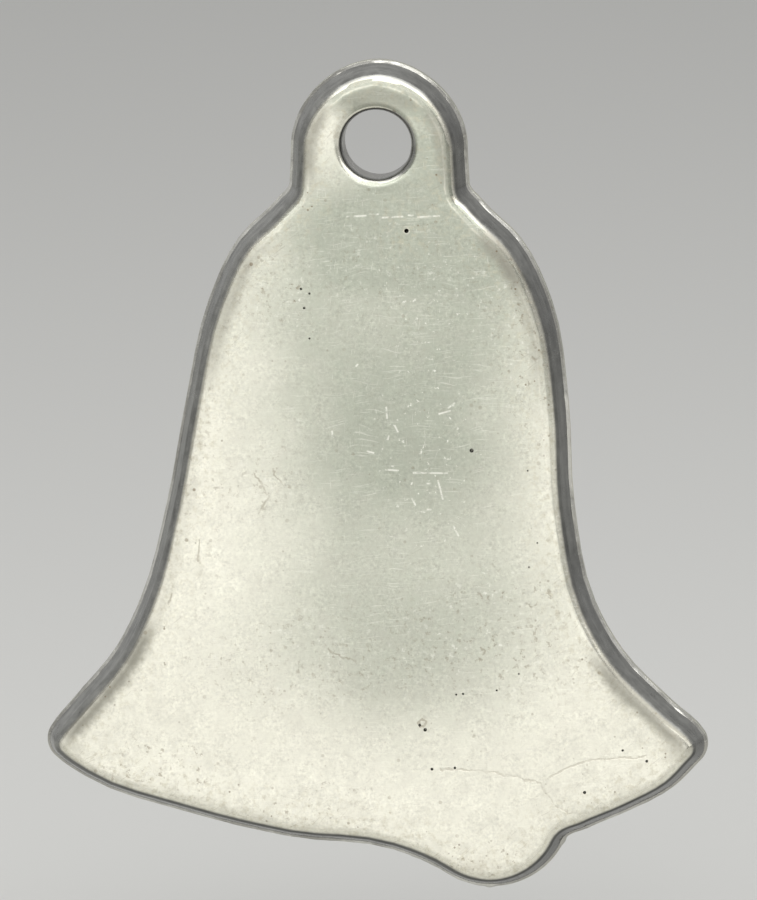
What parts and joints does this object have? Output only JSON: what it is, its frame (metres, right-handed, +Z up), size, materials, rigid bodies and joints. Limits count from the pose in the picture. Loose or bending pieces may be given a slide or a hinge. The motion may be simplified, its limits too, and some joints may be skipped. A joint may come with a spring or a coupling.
{
  "type": "bell ornament",
  "caption": "Flat hollow bell-shaped hanging ornament with a tubed eye, a rolled edge and a plain back plate soldered on.",
  "frame": {"origin": "centre of the hanging hole, half way through the ornament's thickness", "axes": "+Z up, from the clapper to the top of the loop, as the ornament hangs; -Y towards the viewer of the rolled front face; +Y out of the flat back; +X to the right seen from the front, the side of the clapper"},
  "size_m": [0.0433, 0.0028, 0.0545],
  "materials": {
    "shell_metal": "worn satin silver-coloured sheet with fine scratches, light tarnish and bright worn edges",
    "plate_metal": "plain silver-coloured sheet, slightly darker and more tarnished than the front",
    "tube_metal": "drawn silver-coloured tube, worn bright where the hanger rubs",
    "solder_metal": "dull grey solder, rubbed bright in spots"
  },
  "bodies": {
    "root": {"front_shell": "shell_metal", "back_plate": "plate_metal", "eye_tube": "tube_metal", "rim_solder": "solder_metal", "eye_solder": "solder_metal"}
  },
  "joints": []
}
